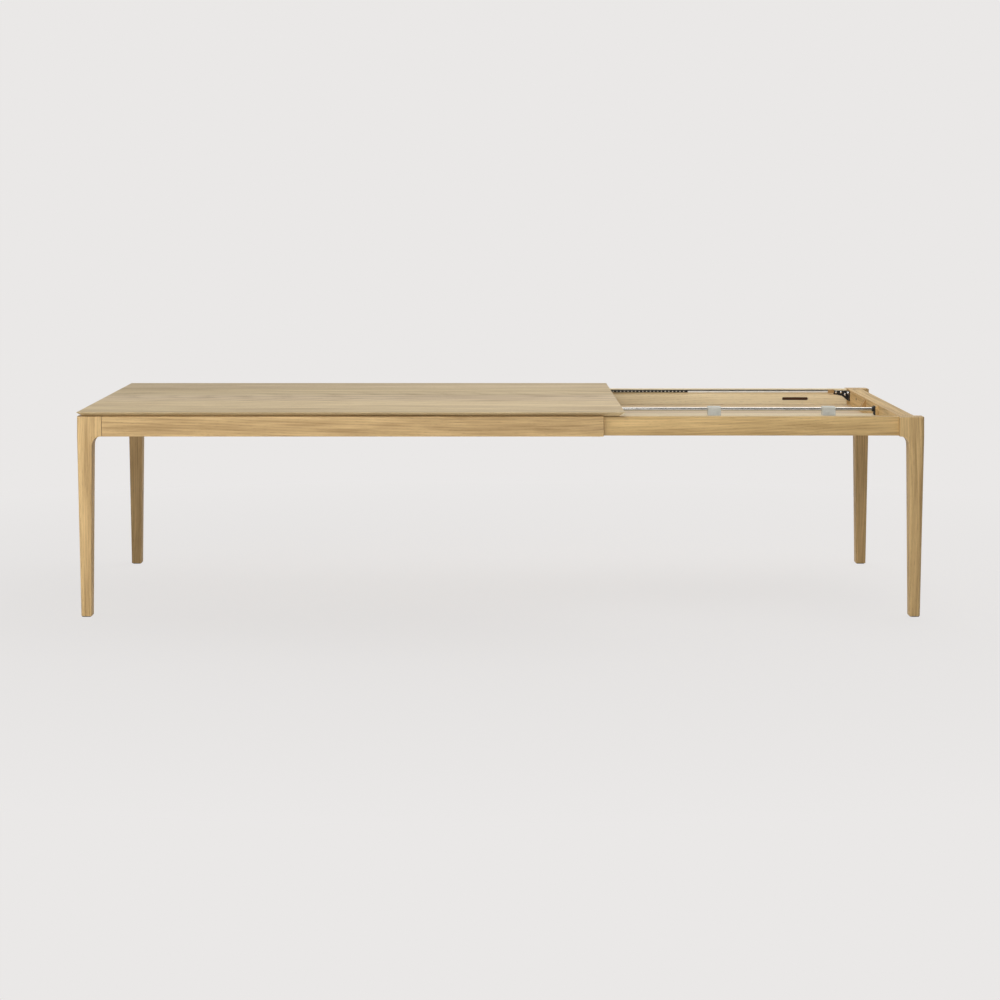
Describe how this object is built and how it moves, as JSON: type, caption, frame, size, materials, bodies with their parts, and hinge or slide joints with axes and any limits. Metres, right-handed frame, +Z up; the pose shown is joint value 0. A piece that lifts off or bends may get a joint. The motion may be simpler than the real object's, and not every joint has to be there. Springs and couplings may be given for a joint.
{
  "type": "extendable dining table",
  "caption": "Rectangular oak dining table whose one end pulls out on telescopic slides, with tapered corner legs, bevelled top and loose leaves stored under it.",
  "frame": {"origin": "on the floor, under the middle of the extended table", "axes": "+X to the end that pulls out, +Y to the back, +Z up"},
  "size_m": [3.096, 1, 0.75],
  "materials": {
    "oak_top": "oiled oak, fine long grain, staves along the length",
    "oak_rail": "oiled oak, straight grain",
    "oak_leg": "oiled oak, upright grain",
    "oak_panel": "thin oak-faced panel",
    "tan_hardwood": "tan hardwood, unfinished",
    "zinc_steel": "zinc plated steel, satin",
    "bright_steel": "polished steel",
    "dark_screw": "black phosphated screws",
    "black_steel": "black powder coat, fine texture",
    "black_plastic": "matt black moulded plastic",
    "pale_plastic": "off-white moulded plastic",
    "dark_glide": "dark nylon glide"
  },
  "bodies": {
    "main_frame": {"end_batten_left": "oak_rail", "end_rail_left": "oak_rail", "foot_glides_left": "dark_glide", "guide_beam_front": "oak_rail", "guide_beam_rear": "oak_rail", "keeper_plate_front": "zinc_steel", "keeper_plate_rear": "zinc_steel", "keeper_screws": "dark_screw", "leaf_ledge_rear": "oak_rail", "leg_front_left": "oak_leg", "leg_rear_left": "oak_leg", "main_top": "oak_top", "side_apron_front": "oak_rail", "side_apron_rear": "oak_rail", "slide_bar_fixed_front": "zinc_steel", "slide_bar_fixed_rear": "zinc_steel", "top_angle_screws": "dark_screw", "top_angles": "zinc_steel"},
    "moving_frame": {"leg_rear_right": "oak_leg", "leg_front_right": "oak_leg", "foot_glides_right": "dark_glide", "end_rail_right": "oak_rail", "end_batten_right": "oak_rail", "side_rail_front": "oak_rail", "side_rail_rear": "oak_rail", "slide_channel_front": "black_steel", "slide_channel_rear": "black_steel", "slide_screws": "dark_screw", "stop_block_front": "tan_hardwood", "stop_block_rear": "tan_hardwood", "corner_bracket_front": "black_steel", "corner_bracket_rear": "black_steel", "bracket_bolts": "bright_steel", "batten_screws": "dark_screw", "running_strip_front": "zinc_steel", "running_strip_rear": "zinc_steel", "runner_beam": "oak_rail", "tail_cross_rail": "oak_rail", "tray_panel": "oak_panel", "guide_tube": "zinc_steel", "tube_blocks": "pale_plastic", "tube_packer": "oak_rail", "tube_bracket_outer": "black_steel", "tube_bracket_inner": "black_steel", "tube_screws": "dark_screw", "glue_wedge": "tan_hardwood"},
    "middle_slide_front": {"slide_middle_front": "black_steel", "roller_cage_front": "black_plastic", "slide_rollers_front": "bright_steel"},
    "middle_slide_rear": {"slide_middle_rear": "black_steel", "roller_cage_rear": "black_plastic", "slide_rollers_rear": "bright_steel"},
    "lower_leaf": {"leaf_lower": "oak_top"},
    "upper_leaf": {"leaf_upper": "oak_top"}
  },
  "joints": [
    {"name": "frame_slide", "type": "slide", "parent": "main_frame", "child": "moving_frame", "axis": [1, 0, 0], "range_m": [-1.08, 0]},
    {"name": "middle_slide_front_travel", "type": "slide", "parent": "main_frame", "child": "middle_slide_front", "axis": [1, 0, 0], "range_m": [-0.54, 0]},
    {"name": "middle_slide_rear_travel", "type": "slide", "parent": "main_frame", "child": "middle_slide_rear", "axis": [1, 0, 0], "range_m": [-0.54, 0]},
    {"name": "lower_leaf_pull", "type": "slide", "parent": "main_frame", "child": "lower_leaf", "axis": [1, 0, 0], "range_m": [0, 1.082]},
    {"name": "upper_leaf_pull", "type": "slide", "parent": "main_frame", "child": "upper_leaf", "axis": [1, 0, 0], "range_m": [0, 1.082]}
  ],
  "couplings": [
    {"joint": "middle_slide_front_travel", "follows": "frame_slide", "ratio": 0.5},
    {"joint": "middle_slide_rear_travel", "follows": "frame_slide", "ratio": 0.5}
  ]
}
